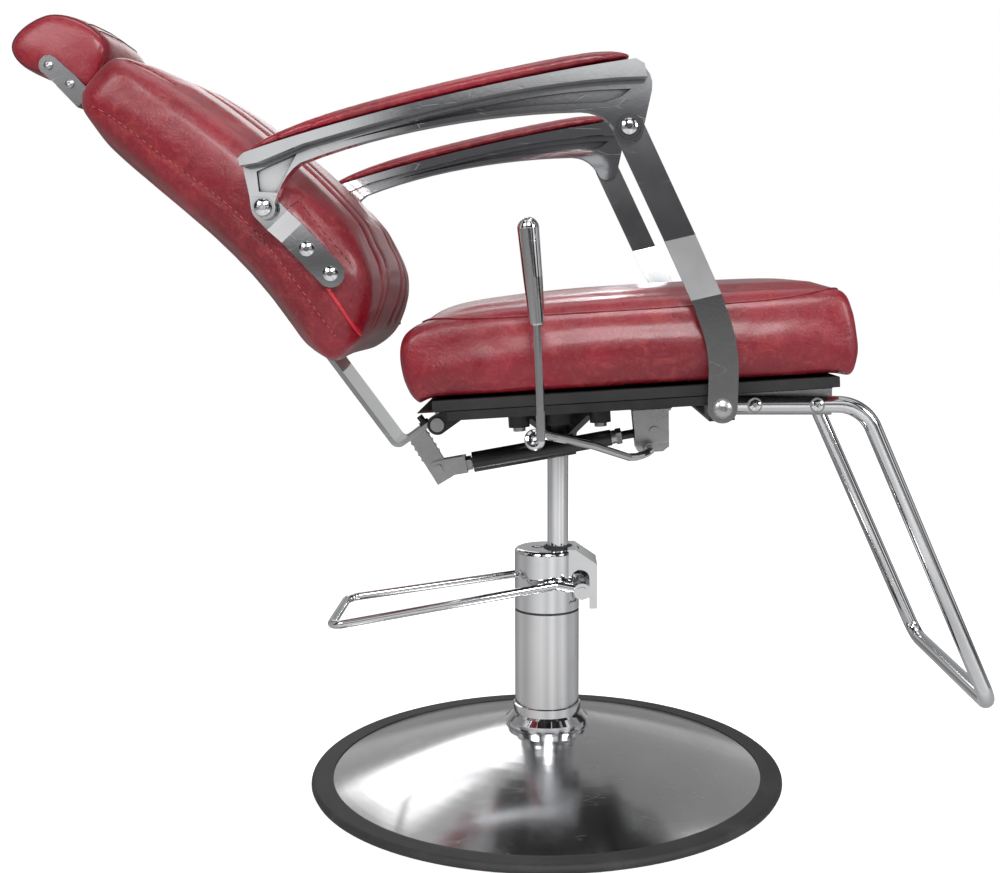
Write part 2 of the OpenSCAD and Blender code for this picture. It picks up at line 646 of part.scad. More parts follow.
// ---------- back ----------
strap_t = 6;
strap_y = 48;
strap_lean = 7.3;          // angle of the strap to the back's axes, towards the cushion
strap_x = -61.8;           // rear face of the strap, from the hinge
strap_top = 262;           // height of its upper end over the hinge
strap_foot = 3.5;          // and of the underside of its foot
barrel_r = 11;

// The strap's own axes: origin in the hinge, X towards the cushion, Z up the strap
module on_strap() translate([hinge[0], 0, hinge[1]]) rotate([0, strap_lean - back_lean, 0]) children();

module back_strap() color(chrome) difference() {
  bend = [strap_x + 12, strap_foot + 12];    // centre of the bend
  union() {
    on_strap() plate(-strap_y, strap_y) polygon(concat([[strap_x, strap_top]], arc(bend, 12, 180, 270, 8),
      [[bend[0], strap_foot], [-1, strap_foot], [-1, strap_foot + strap_t]],
      arc(bend, 12 - strap_t, 270, 180, 8), [[strap_x + strap_t, bend[1]], [strap_x + strap_t, strap_top]]));
    across(hinge, -strap_y - 1, strap_y + 1, 2 * barrel_r);
  }
  across(hinge, -strap_y - 2, strap_y + 2, 12 + 2 * fit);
  on_strap() for (t = strap_holes) translate([strap_x - 1, 0, t]) rotate([0, 90, 0])
    cylinder(d = 8.4, h = 10, $fn = fine);
}

strap_holes = [150, 196, 242];

module strap_screws() color(zinc) on_strap() for (t = strap_holes)
  translate([strap_x, 0, t]) rotate([0, -90, 0]) button_screw(8, 16, 26);

// Ribbed lever from the strap's foot down to the strut
module strut_lever() color(zinc) difference() {
  translate([strut_rear[0], 0, strut_rear[1]]) rotate([0, 12 - back_lean, 0]) {
    translate([-11.5, strut_y - 7, -17]) cube([23, 14, 68]);
    for (z = [18, 26, 34, 42]) translate([-12.5, strut_y - 7.6, z]) cube([25, 15.2, 3]);
  }
  across(strut_rear, strut_y - 20, strut_y + 20, open_pivot_d);
  // its upper end is cut to lie against the underside of the strap's foot
  on_strap() plate(strut_y - 12, strut_y + 12)
    polygon([[-100, strap_foot], [20, strap_foot], [20, 80], [-100, 80]]);
}

module stop_screw() color(black) on_strap() translate([-15, -30, strap_foot + strap_t]) {
  cylinder(d = 8, h = 12, $fn = fine);
  cylinder(d = 13, h = 4.5, $fn = 6);
}

// Side outline of the back cushion, as [out, up]
back_side = [[-16, 4], [15, 0.5], [39, 10], [64, 28], [86, 56], [98, 98], [100, 149], [94, 221], [80, 307],
  [63, 389], [48, 419], [12, 421], [-18, 413], [-28, 380], [-22, 298], [-13.5, 215], [-12, 150], [-17, 90],
  [-23, 45], [-23, 20]];

module back_cushion() color(red) on_back() difference() {
  half = back_w / 2;
  corner = 64;              // radius of the cushion's lower corners, seen from the front
  channel = 5;              // depth of the sewn channels in the front
  low_swell = 8;            // how far the front swells out at its middle, low down
  high_swell = 16;          // and below the top
  channel_y = [72, 128];
  outline = closed_curve(back_side, 2);
  near = [for (y = channel_y) each [y - 12, y, y + 12]];
  inner = concat([for (i = [len(near) - 1:-1:0]) -near[i]], [-30, 0, 30], near);
  skin([for (s = stations(half, back_edge, inner))
    [for (p = outline) let (q = drawn_in(p, [41, 60], [22, 350], s[1]), across_f = s[0] / half,
        round = corner - sqrt(corner * corner - pow(max(0, abs(s[0]) - half + corner), 2) + 0.001),
        lift = round * clamp(1 - q[1] / 150, 0, 1) * 0.8
          + 18 * (1 - pow(across_f, 2)) * clamp(1 - q[1] / 70, 0, 1),
        rear = back_crown * (1 - pow(min(1, abs(s[0]) / (half - back_edge)), 2))
          * clamp((15 - q[0]) / 27, 0, 1) * (1 - 0.4 * clamp(q[1] / 150, 0, 1)),
        sewn = channel * len([for (c = channel_y) if (abs(abs(s[0]) - c) < 1) 1])
          * (q[1] > 40 && q[1] < 330 && q[0] > 60 ? 1 : 0),
        front = (1 - pow(across_f, 2)) * clamp((q[0] - 30) / 30, 0, 1) * clamp((380 - q[1]) / 36, 0, 1)
          * (low_swell + (high_swell - low_swell) * clamp((q[1] - 130) / 150, 0, 1)))
      [q[0] - rear - sewn + front, s[0], q[1] + lift]]]);
  translate([socket_x - 0.01, -socket_y, socket_low]) cube([socket_t + 0.02, 2 * socket_y, 200]);
}

// Side bracket between the back and the arm, bent out to reach the arm
bracket_x = 54.5;
bracket_w = 30;
bracket_low = 84.5;
bracket_high = 179.7;
screw_t = [84.5, 121];

module back_bracket(side) mirrored(side) difference() {
  intersection() {
    on_back() translate([bracket_x - 30, 0, 0]) rotate([90, 0, 90]) linear_extrude(60)
      polygon([[bar_in, 40], [bar_in, 146], [bar_in + 14, 164], [bar_in + 14, 200],
        [bar_in + 14 + bar_t, 200], [bar_in + 14 + bar_t, 162], [bar_in + bar_t, 144], [bar_in + bar_t, 40]]);
    on_back() flat_bar([[bracket_x, bracket_low], [bracket_x, bracket_high]], bracket_w, 200, 300);
  }
  across(arm_rear, 200, 300, 10);
  on_back() for (t = screw_t) translate([bracket_x, 200, t]) rotate([-90, 0, 0])
    cylinder(d = 8.4, h = 100, $fn = fine);
}
bar_in = 232.4;   // inner face of the bracket, on the cushion's side

module back_bracket_right() color(chrome) back_bracket(-1);
module back_bracket_left() color(chrome) back_bracket(1);

module bracket_screws() color(zinc) both_sides() on_back() for (t = screw_t)
  translate([bracket_x, bar_in + bar_t, t]) rotate([-90, 0, 0]) button_screw(8, 16, 26);

module arm_rear_bolts() color(zinc) both_sides() {
  translate([arm_rear[0], arm_out + 0.6, arm_rear[1]]) rotate([-90, 0, 0]) button_screw(10, 18, 18);
}

// ---------- headrest ----------
socket_x = -10.5;
socket_t = 12;
socket_y = 24;
socket_low = 292;
socket_high = 413;
post_t = 5;
post_y = 19;

module headrest_socket() color(zinc) on_back() difference() {
  translate([socket_x, -socket_y, socket_low]) cube([socket_t, 2 * socket_y, socket_high - socket_low]);
  translate([socket_x + (socket_t - post_t) / 2 - 0.3, -post_y - 0.3, socket_low - 1])
    cube([post_t + 0.6, 2 * post_y + 0.6, socket_high]);
}

// Side outline of the headrest, as [out, up] in the back's axes
headrest_side = [[-9, 452], [31, 468], [39, 494], [29, 526], [10, 549], [-22, 560], [-51, 556], [-60, 536],
  [-55, 515], [-43, 491], [-40, 466], [-29, 452]];

module headrest_cushion() color(red) on_back() {
  half = headrest_w / 2;
  outline = closed_curve(headrest_side, 3);
  skin([for (s = stations(half, 14, [-60, 0, 60], 3))
    [for (p = outline) let (q = drawn_in(p, [-6, 485], [-24, 530], s[1]),
        swell = 1 + 0.05 * (1 - pow(s[0] / half, 2)))
      [-12 + (q[0] + 12) * swell, s[0], q[1]]]]);
}

ear_edge = [headrest_w / 2 + 0.4, headrest_w / 2 + 3.4];

module headrest_bracket() color(zinc) on_back() {
  both_sides() difference() {
    union() {
      flat_bar(headrest_holes, 23, ear_edge[0], ear_edge[1]);
      plate(ear_edge[0], ear_edge[1]) polygon([[-42, yoke_t], [-18, yoke_t], [-18, headrest_holes[0][1]],
        [-42, headrest_holes[0][1] + 10]]);
    }
    for (p = headrest_holes) translate([p[0], ear_edge[0] - 1, p[1]]) rotate([-90, 0, 0])
      cylinder(d = 5.4, h = 6, $fn = fine);
  }
  post_x = socket_x + (socket_t - post_t) / 2;
  translate([-42, -ear_edge[0] - 1, yoke_t]) cube([24, 2 * ear_edge[0] + 2, 3]);
  translate([-42, -post_y, yoke_t]) cube([42 + post_x + post_t, 2 * post_y, 3]);
  translate([post_x, -post_y, 306]) cube([post_t, 2 * post_y, yoke_t + 1 - 306]);
}

headrest_holes = [[-29, 470], [-32, 502]];
yoke_t = 445;              // height of the bracket's cross plate along the back

module headrest_screws() color(zinc) on_back() both_sides() for (p = headrest_holes)
  translate([p[0], ear_edge[1], p[1]]) rotate([-90, 0, 0]) button_screw(5, 10, 18);

// ---------- arms ----------
arm_out = arm_y + 10;       // outer and inner faces of the arm's web
arm_in = arm_y - 10;
flange_y = [237, 237 + pad_w - 2];

// Upper edge of the arm casting, from its rear nose to its front one
arm_top = bezier([-313, 774], [-240, 800], [-60, 848], [91, 869], 16);
// Lower edge of the flange under the pad, from the front back to the rear
flange_low = bezier([103, 851], [-20, 849], [-150, 812], [-252, 783], 12);

arm_outline = concat(arm_top,
  bezier([91, 869], [104, 867], [117, 852], [106, 830], 6),
  arc(arm_front, 16, 5, -140, 10),
  bezier([73.5, 795], [68, 808], [56, 820], [35, 820], 6),
  bezier([35, 820], [-60, 818], [-170, 800], [-259, 766], 12),
  bezier([-259, 766], [-272, 758], [-281, 742], [-287, 726], 5),
  arc(arm_rear, 13, 20, -180, 10),
  bezier([-312, 720], [-313, 738], [-318, 750], [-319, 762], 5),
  bezier([-319, 762], [-320, 769], [-318, 772], [-313, 774], 3));

flange_outline = concat(arm_top, [[91, 869], [100, 864]], flange_low, [[-252, 783], [-299, 764], [-317, 761],
  [-319, 768]]);

// Shallow panel in the casting's rear, and a long one along its web
rear_panel = [[-305, 757], [-262, 776], [-272, 758], [-284, 735], [-303, 736]];
long_panel = concat(bezier([88, 842], [-20, 842], [-150, 806], [-225, 786], 10),
  bezier([-215, 788], [-140, 806], [-60, 824], [30, 827], 10), [[60, 828], [78, 834]]);

module arm_frame(side) mirrored(side) difference() {
  union() {
    plate(arm_in, arm_out) polygon(arm_outline);
    plate(flange_y[0], flange_y[1]) polygon(flange_outline);
    across(arm_front, arm_out - 1, arm_out + 1.5, 24);
    across(arm_rear, arm_out - 1, arm_out + 0.5, 22);
  }
  for (y = [arm_in - 1, arm_out - 4]) plate(y, y + 5) polygon(long_panel);
  plate(arm_out - 4, arm_out + 1) polygon(rear_panel);
  across(arm_front, arm_in - 1, arm_out + 5, 8);
  across(arm_rear, arm_in - 1, arm_out + 5, 10 + 2 * fit);
  plate(bar_high_y + bar_t / 2 - slot_w / 2, bar_high_y + bar_t / 2 + slot_w / 2) {
    translate(arm_front) circle(r = 22, $fn = fine);
    translate(arm_front + [-30, -30]) square([60, 30]);
  }
  plate(arm_in - 1, arm_in + 8.5) {
    translate(arm_rear) circle(r = 18.5, $fn = fine);
    translate(arm_rear + [-18.5, -30]) square([37, 30]);
  }
}

module arm_frame_right() color(chrome) arm_frame(-1);
module arm_frame_left() color(chrome) arm_frame(1);

// Pad: half-round sections along the casting's upper edge
pad_steps = 16;
module arm_pad(side) mirrored(side) {
  f = [for (i = [0:pad_steps]) 0.5 - 0.5 * cos(180 * i / pad_steps)];    // closer together at the ends
  low = [for (at = f) bezier_point([-312, 775.2], [-240, 801.2], [-60, 849.2], [87, 869.8], at)];
  middle = (flange_y[0] + flange_y[1]) / 2;
  skin([for (i = [0:pad_steps]) let (rear = pow(max(0, 1 - 2 * f[i]), 3),
      front = pow(max(0, 2 * f[i] - 1), 14),
      w = pad_w / 2 * (1 - 0.5 * rear - 0.3 * front), h = 14 * (1 - 0.75 * rear - 0.6 * front),
      t = unit(low[min(i + 1, pad_steps)] - low[max(i - 1, 0)]))
    [for (k = [0:15]) let (a = 180 * k / 15, x = w * sign(cos(a)) * pow(abs(cos(a)), 0.55),
        z = h * pow(sin(a), 0.55))
      [low[i][0] - t[1] * z, middle + x, low[i][1] + t[0] * z]]]);
}

module arm_pad_right() color(red) arm_pad(-1);
module arm_pad_left() color(red) arm_pad(1);

module arm_bolt(side) mirrored(side) translate([arm_front[0], arm_out + 1.5, arm_front[1]])
  rotate([-90, 0, 0]) button_screw(8, 17, 21.5);

module arm_bolt_right() color(zinc) arm_bolt(-1);
module arm_bolt_left() color(zinc) arm_bolt(1);

// Upright bar: bent in its own plane near the seat, and stepped out towards the arm
bar_knee = [192.5, 582];
knee_r = 170;

module upright(side) mirrored(side) {
  up = unit(arm_front - bar_knee);
  down = unit(upright_foot - bar_knee);
  lean = 180 - angle_between(up, down);
  cut = knee_r * tan(lean / 2);
  centre = bar_knee + down * cut + knee_r * [-1, 0];
  line = concat([upright_foot], arc(centre, knee_r, 0, lean, 10), [bar_knee + up * cut, arm_front]);
  difference() {
    intersection() {
      flat_bar(line, upright_w, 200, 300);
      translate([140, 0, 655]) rotate([0, -13, 0]) translate([-140, 0, 0]) rotate([90, 0, 90])
        linear_extrude(300) polygon([[bar_low_y, -180], [bar_low_y, -34], [bar_high_y, 34],
          [bar_high_y, 200], [bar_high_y + bar_t, 200], [bar_high_y + bar_t, 32],
          [bar_low_y + bar_t, -36], [bar_low_y + bar_t, -180]]);
    }
    across(upright_foot, 200, 300, 10 + 2 * fit);
    across(arm_front, 200, 300, open_pivot_d);
  }
}

module upright_right() color(steel_dark) upright(-1);
module upright_left() color(steel_dark) upright(1);

// ---------- what is drawn ----------
base_dome();
base_ring();
base_plate();
base_bolts();
base_collar();
pump_barrel();
pump_cover();
pump_seal();
pump_head();
filler_screw();
piston_wiper();
pedal_hood();
pedal_lug();
pedal_shaft();
pump_pedal();
piston();
seat_mount();
mount_bolts();
seat_frame();
dust_cover();
seat_board();
seat_cushion();
hinge_pin();
strut_bracket();
strut_pin();
lever_sleeve();
footrest_tube();
footrest_plates();
footrest_bolts();
upright_bolts();
back_strap();
strap_screws();
strut_lever();
stop_screw();
back_cushion();
back_bracket_right();
back_bracket_left();
bracket_screws();
arm_rear_bolts();
headrest_socket();
headrest_cushion();
headrest_bracket();
headrest_screws();
arm_frame_right();
arm_frame_left();
arm_pad_right();
arm_pad_left();
arm_bolt_right();
arm_bolt_left();
upright_right();
upright_left();
strut_cylinder();
strut_nut();
strut_rod();
strut_clevis();
clevis_pin();
release_lever();
lever_grip();
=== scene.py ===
import math

import bmesh
import bpy
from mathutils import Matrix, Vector
from mathutils.bvhtree import BVHTree
from mathutils.kdtree import KDTree


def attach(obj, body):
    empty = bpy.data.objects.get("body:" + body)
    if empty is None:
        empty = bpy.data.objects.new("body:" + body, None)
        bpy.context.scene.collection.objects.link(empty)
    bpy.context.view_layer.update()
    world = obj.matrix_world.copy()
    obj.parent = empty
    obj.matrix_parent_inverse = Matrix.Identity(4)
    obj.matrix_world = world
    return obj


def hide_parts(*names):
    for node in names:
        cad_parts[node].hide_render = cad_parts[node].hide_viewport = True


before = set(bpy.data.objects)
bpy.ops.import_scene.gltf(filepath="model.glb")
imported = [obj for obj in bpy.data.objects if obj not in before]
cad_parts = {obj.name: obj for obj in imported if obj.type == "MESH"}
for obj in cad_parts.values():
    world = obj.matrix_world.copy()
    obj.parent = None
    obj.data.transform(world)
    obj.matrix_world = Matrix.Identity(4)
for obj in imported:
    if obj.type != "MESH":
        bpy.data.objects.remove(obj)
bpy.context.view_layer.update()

# ---------------------------------------------------------------- camera
# The camera stands at the chair's right side, a little above the seat, and looks slightly down
# across the chair; its shift only centres the chair in the frame.
EYE = (0, -1.668, 0.640)
EYE_TILT = math.radians(83.37)
LENS_MM = 47.34
SENSOR_MM = 36
SHIFT = -0.0469


def add(name, data):
    """A new object in the scene, at the origin."""
    thing = bpy.data.objects.new(name, data)
    bpy.context.scene.collection.objects.link(thing)
    return thing


camera = add("camera", bpy.data.cameras.new("camera"))
camera.location = EYE
camera.rotation_euler = (EYE_TILT, 0, 0)
camera.data.sensor_width = SENSOR_MM
camera.data.lens = LENS_MM
camera.data.shift_x = SHIFT
bpy.context.scene.camera = camera

# ---------------------------------------------------------------- studio
# A plain white studio with large soft lamps. Polished metal sees a darker room, with dark flags
# round the walls and a dark place behind the camera, which give the plating its contrast.
bpy.context.scene.view_settings.view_transform = "Standard"
SOFT_LIGHT = 0.30
DARK_PLACE = (0.075, 0.075, 0.08)


def new_material(name):
    """A node material holding only its Principled BSDF."""
    material = bpy.data.materials.new(name)
    material.use_nodes = True
    return material, material.node_tree, material.node_tree.nodes["Principled BSDF"]


def put(tree, kind, links=None, **values):
    """One node: values set its properties or its sockets by name, links feed its inputs."""
    node = tree.nodes.new(kind)
    for key, value in values.items():
        if key in node.bl_rna.properties:
            setattr(node, key, value)
        else:
            node.inputs[key.replace("_", " ")].default_value = value
    for key, source in (links or {}).items():
        if isinstance(source, (int, float)):
            node.inputs[key].default_value = source
        else:
            tree.links.new(source, node.inputs[key])
    return node


def calc(tree, operation, *values):
    """The result of a math node on numbers or sockets."""
    return put(tree, "ShaderNodeMath", dict(enumerate(values)), operation=operation).outputs[0]


def ramp(tree, source, stops):
    """A colour ramp with the given stops: (place, grey value)."""
    node = put(tree, "ShaderNodeValToRGB", {"Fac": source})
    while len(node.color_ramp.elements) < len(stops):
        node.color_ramp.elements.new(0.5)
    for element, (place, grey) in zip(node.color_ramp.elements, stops):
        element.position = place
        element.color = (grey, grey, grey, 1)
    return node.outputs["Color"]


def blend(tree, factor, first, second, kind="MIX"):
    """A colour mix; first and second are colours or sockets."""
    first_socket, second_socket = 6, 7
    node = put(tree, "ShaderNodeMix", {0: factor}, data_type="RGBA", blend_type=kind)
    for place, colour in ((first_socket, first), (second_socket, second)):
        if isinstance(colour, tuple):
            node.inputs[place].default_value = (*colour, 1)
        else:
            tree.links.new(colour, node.inputs[place])
    return node.outputs[2]


def round_z(tree, place):
    """The direction of a place about the Z axis, from 0 to 1 over a full turn."""
    angle = calc(tree, "ARCTAN2", place.outputs["X"], place.outputs["Y"])
    return calc(tree, "MULTIPLY_ADD", angle, 0.5 / math.pi, 0.5)


world = bpy.data.worlds.new("studio")
bpy.context.scene.world = world
world.use_nodes = True
sky = world.node_tree
sky.nodes.clear()
direction = put(sky, "ShaderNodeTexCoord").outputs["Generated"]
way = put(sky, "ShaderNodeSeparateXYZ", {"Vector": direction})
height = calc(sky, "MULTIPLY_ADD", way.outputs["Z"], 0.5, 0.5)
turn = round_z(sky, way)
near_wall = ramp(sky, height, [
    (0.00, 0.55), (0.46, 0.55), (0.495, 0.35), (0.51, 0.05), (0.53, 0.75), (0.60, 0.65),
    (0.615, 0.05), (0.655, 0.05), (0.67, 0.80), (0.82, 0.80), (0.835, 0.06), (0.88, 0.06),
    (0.895, 0.85), (1.00, 0.85)])
far_wall = ramp(sky, height, [
    (0.00, 0.55), (0.46, 0.55), (0.495, 0.40), (0.51, 0.06), (0.53, 0.50), (0.58, 0.42),
    (0.64, 0.30), (0.80, 0.27), (0.86, 0.22), (0.91, 0.60), (1.00, 0.90)])
far_side = put(sky, "ShaderNodeMapRange", {"Value": way.outputs["Y"], "From Min": -0.12,
                                           "From Max": 0.12}).outputs[0]
walls = blend(sky, far_side, near_wall, far_wall)
flags = ramp(sky, turn, [
    (0.00, 0.9), (0.035, 0.9), (0.045, 0.10), (0.075, 0.08), (0.085, 1.0), (0.13, 1.0),
    (0.15, 0.06), (0.21, 0.05), (0.225, 1.0), (0.345, 1.0), (0.36, 0.30), (0.38, 1.0), (0.60, 1.0),
    (0.625, 0.10), (0.66, 0.08), (0.67, 1.0), (0.76, 1.0), (0.775, 0.05), (0.815, 0.05),
    (0.825, 1.1), (0.86, 1.1), (0.875, 0.05), (0.905, 0.05), (0.915, 1.0)])
behind_camera = ramp(sky, turn, [
    (0.00, 1.0), (0.016, 1.0), (0.024, 0.0), (0.935, 0.0), (0.95, 1.0), (1.00, 1.0)])
eye_level = ramp(sky, height, [(0.395, 0.0), (0.415, 1.0), (0.565, 1.0), (0.58, 0.0)])
room = blend(sky, blend(sky, 1.0, behind_camera, eye_level, "MULTIPLY"),
             blend(sky, 1.0, walls, flags, "MULTIPLY"), DARK_PLACE)
ray = put(sky, "ShaderNodeLightPath").outputs
white = put(sky, "ShaderNodeBackground", Strength=1.0, Color=(1, 1, 1, 1))
soft = put(sky, "ShaderNodeBackground", Strength=SOFT_LIGHT, Color=(1, 0.99, 0.98, 1))
shiny = put(sky, "ShaderNodeBackground", {"Color": room}, Strength=1.0)
lighting = put(sky, "ShaderNodeMixShader", {"Fac": ray["Is Glossy Ray"], 1: soft.outputs[0],
                                            2: shiny.outputs[0]})
clear = calc(sky, "MAXIMUM", ray["Is Camera Ray"], ray["Is Transmission Ray"])
whole = put(sky, "ShaderNodeMixShader", {"Fac": clear, 1: lighting.outputs[0],
                                         2: white.outputs[0]})
put(sky, "ShaderNodeOutputWorld", {"Surface": whole.outputs[0]})

# The floor is pale and matte. The camera sees it lifted nearly to white, and polished metal sees it
# in darker sectors, so that the dome isn't washed out.
FLOOR_HALF = 30
FLOOR_LIFT_SEEN = 0.72
FLOOR_LIFT = 0.06
floor_material, tree, shader = new_material("pale_floor")
shader.inputs["Roughness"].default_value = 0.9
shader.inputs["Specular IOR Level"].default_value = 0.1
shader.inputs["Emission Color"].default_value = (1, 1, 1, 1)
ray = put(tree, "ShaderNodeLightPath").outputs
spot = put(tree, "ShaderNodeSeparateXYZ",
           {"Vector": put(tree, "ShaderNodeTexCoord").outputs["Object"]})
sectors = ramp(tree, round_z(tree, spot), [
    (0.00, 0.52), (0.05, 0.66), (0.12, 0.60), (0.22, 0.42), (0.30, 0.52), (0.40, 0.30),
    (0.50, 0.22), (0.60, 0.30), (0.70, 0.46), (0.78, 0.38), (0.84, 0.64), (0.90, 0.50),
    (0.95, 0.72), (1.00, 0.52)])
tree.links.new(blend(tree, ray["Is Glossy Ray"], (0.90, 0.90, 0.90), sectors),
               shader.inputs["Base Color"])
tree.links.new(calc(tree, "MULTIPLY_ADD", ray["Is Camera Ray"], FLOOR_LIFT_SEEN, FLOOR_LIFT),
               shader.inputs["Emission Strength"])
bm = bmesh.new()
bmesh.ops.create_grid(bm, x_segments=1, y_segments=1, size=FLOOR_HALF)
floor_mesh = bpy.data.meshes.new("floor")
bm.to_mesh(floor_mesh)
bm.free()
floor_mesh.materials.append(floor_material)
floor = add("floor", floor_mesh)


def lamp(name, place, aim, size, power):
    """A square soft lamp at place, turned towards aim."""
    data = bpy.data.lights.new(name, "AREA")
    data.size = size
    data.energy = power
    light = add(name, data)
    light.location = place
    light.rotation_euler = (Vector(aim) - Vector(place)).to_track_quat("-Z", "Y").to_euler()


lamp("key", place=(-1.7, -2.4, 2.0), aim=(0, 0, 0.5), size=1.0, power=25)
lamp("strip", place=(0.25, -2.5, 2.15), aim=(0.05, -0.2, 0.6), size=0.8, power=36)
lamp("front", place=(2.4, -1.7, 1.4), aim=(0.2, 0, 0.5), size=0.8, power=26)
lamp("top", place=(0, 0.3, 3.1), aim=(0, 0, 0.5), size=1.8, power=15)
lamp("behind", place=(-0.8, 2.7, 2.0), aim=(0, 0, 0.5), size=1.5, power=11)

# ---------------------------------------------------------------- base
# The base is a sheet dome with a turned flange collar, both plated with bright chromium over
# polished steel. The dome shows cloudy polishing marks and thin scratches from sweeping and moving
# the chair.


def effect(name, takes, gives):
    """An empty shader group with named inputs (label, kind, value) and outputs (label, kind)."""
    group = bpy.data.node_groups.new(name, "ShaderNodeTree")
    for label, kind, value in takes:
        socket = group.interface.new_socket(name=label, in_out="INPUT",
                                            socket_type="NodeSocket" + kind)
        if value is not None:
            socket.default_value = value
    for label, kind in gives:
        group.interface.new_socket(name=label, in_out="OUTPUT", socket_type="NodeSocket" + kind)
    return group, put(group, "NodeGroupInput").outputs, put(group, "NodeGroupOutput").inputs


def with_effect(name, group, values):
    """A material whose colour, roughness and normal come from a shared group."""
    material, tree, shader = new_material(name)
    skin = put(tree, "ShaderNodeGroup", node_tree=group)
    tree.links.new(put(tree, "ShaderNodeTexCoord").outputs["Object"], skin.inputs["Place"])
    for label, value in values.items():
        skin.inputs[label].default_value = (*value, 1) if isinstance(value, tuple) else value
    tree.links.new(skin.outputs["Colour"], shader.inputs["Base Color"])
    tree.links.new(skin.outputs["Roughness"], shader.inputs["Roughness"])
    tree.links.new(skin.outputs["Normal"], shader.inputs["Normal"])
    return material, shader


plate_marks, given, result = effect(
    "plate_marks",
    [("Place", "Vector", None), ("Bright", "Color", (0.8, 0.8, 0.8, 1)),
     ("Dull", "Color", (0.6, 0.6, 0.6, 1)), ("Least", "Float", 0.04), ("Most", "Float", 0.10),
     ("Grain", "Float", 200.0), ("Grain Depth", "Float", 0.02), ("Scratches", "Float", 0.3)],
    [("Colour", "Color"), ("Roughness", "Float"), ("Normal", "Vector")])
cloud = put(plate_marks, "ShaderNodeTexNoise", {"Vector": given["Place"]},
            Scale=8.0, Detail=5.0, Roughness=0.6)
swept = put(plate_marks, "ShaderNodeMapping", {"Vector": given["Place"]},
            Scale=(1.0, 7.0, 3.0), Rotation=(0.3, 0.2, 0.7))
net = put(plate_marks, "ShaderNodeTexVoronoi", {"Vector": swept.outputs[0]},
          feature="DISTANCE_TO_EDGE", Scale=16.0)
lines = ramp(plate_marks, net.outputs["Distance"], [(0.0, 1.0), (0.010, 0.0)])
patches = put(plate_marks, "ShaderNodeTexNoise", {"Vector": given["Place"]},
              Scale=31.0, Detail=2.0)
here = ramp(plate_marks, patches.outputs["Fac"], [(0.50, 0.0), (0.62, 1.0)])
scratch = calc(plate_marks, "MULTIPLY", blend(plate_marks, 1.0, lines, here, "MULTIPLY"),
               given["Scratches"])
fine = put(plate_marks, "ShaderNodeTexNoise", {"Vector": given["Place"], "Scale": given["Grain"]},
           Detail=2.0)
tone = blend(plate_marks, ramp(plate_marks, cloud.outputs["Fac"], [(0.38, 0.0), (0.66, 1.0)]),
             given["Bright"], given["Dull"])
plate_marks.links.new(blend(plate_marks, scratch, tone, (0.92, 0.92, 0.93)), result["Colour"])
even = put(plate_marks, "ShaderNodeMapRange",
           {"Value": cloud.outputs["Fac"], "From Min": 0.3, "From Max": 0.7,
            "To Min": given["Least"], "To Max": given["Most"]})
plate_marks.links.new(calc(plate_marks, "MULTIPLY_ADD", scratch, 0.35, even.outputs[0]),
                      result["Roughness"])
rise = put(plate_marks, "ShaderNodeBump",
           {"Height": fine.outputs["Fac"], "Strength": given["Grain Depth"]}, Distance=0.0004)
cut = put(plate_marks, "ShaderNodeBump", {"Height": scratch, "Normal": rise.outputs["Normal"]},
          Strength=0.35, Distance=0.0001, invert=True)
plate_marks.links.new(cut.outputs["Normal"], result["Normal"])


def plated(name, bright, dull, least, most, grain, depth, scratches=0.3):
    """A plated or bare metal: two tones, its least and most roughness, its grain and scratches."""
    material, shader = with_effect(name, plate_marks, {
        "Bright": bright, "Dull": dull, "Least": least, "Most": most, "Grain": grain,
        "Grain Depth": depth, "Scratches": scratches})
    shader.inputs["Metallic"].default_value = 1.0
    return material


def finish(material, *nodes):
    """Puts the material in the slots of CAD nodes that keep their own mesh."""
    for name in nodes:
        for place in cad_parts[name].material_slots:
            place.material = material


dome_chrome = plated("dome_chrome", (0.80, 0.80, 0.81), (0.72, 0.72, 0.73),
                     least=0.13, most=0.20, grain=180.0, depth=0.03, scratches=0.4)
chrome = plated("bright_chrome", (0.84, 0.845, 0.86), (0.76, 0.77, 0.79),
                least=0.03, most=0.08, grain=240.0, depth=0.02)
bare_steel = plated("bare_steel", (0.40, 0.40, 0.41), (0.33, 0.33, 0.34),
                    least=0.30, most=0.45, grain=150.0, depth=0.15)
finish(dome_chrome, "base_dome")
finish(chrome, "base_collar")
finish(bare_steel, "base_plate", "base_bolts")

# ---------------------------------------------------------------- rubber
# The ring round the dome, the seal under the pump head and the wiper round the piston are black
# rubber: a matte skin with a fine moulding grain and grey scuffs where the floor has rubbed it.
dusty_skin, given, result = effect(
    "dusty_skin",
    [("Place", "Vector", None), ("Colour", "Color", (0.02, 0.02, 0.02, 1)),
     ("Dust", "Color", (0.1, 0.1, 0.1, 1)), ("Dustiness", "Float", 0.4),
     ("Roughness", "Float", 0.5), ("Grain", "Float", 400.0), ("Grain Depth", "Float", 0.3)],
    [("Colour", "Color"), ("Roughness", "Float"), ("Normal", "Vector")])
cloud = put(dusty_skin, "ShaderNodeTexNoise", {"Vector": given["Place"]},
            Scale=17.0, Detail=7.0, Roughness=0.65)
fine = put(dusty_skin, "ShaderNodeTexNoise", {"Vector": given["Place"], "Scale": given["Grain"]},
           Detail=3.0)
settled = calc(dusty_skin, "MULTIPLY",
               ramp(dusty_skin, cloud.outputs["Fac"], [(0.45, 0.0), (0.75, 1.0)]),
               given["Dustiness"])
dusty_skin.links.new(blend(dusty_skin, settled, given["Colour"], given["Dust"]), result["Colour"])
dusty_skin.links.new(calc(dusty_skin, "MULTIPLY_ADD", settled, 0.25, given["Roughness"]),
                     result["Roughness"])
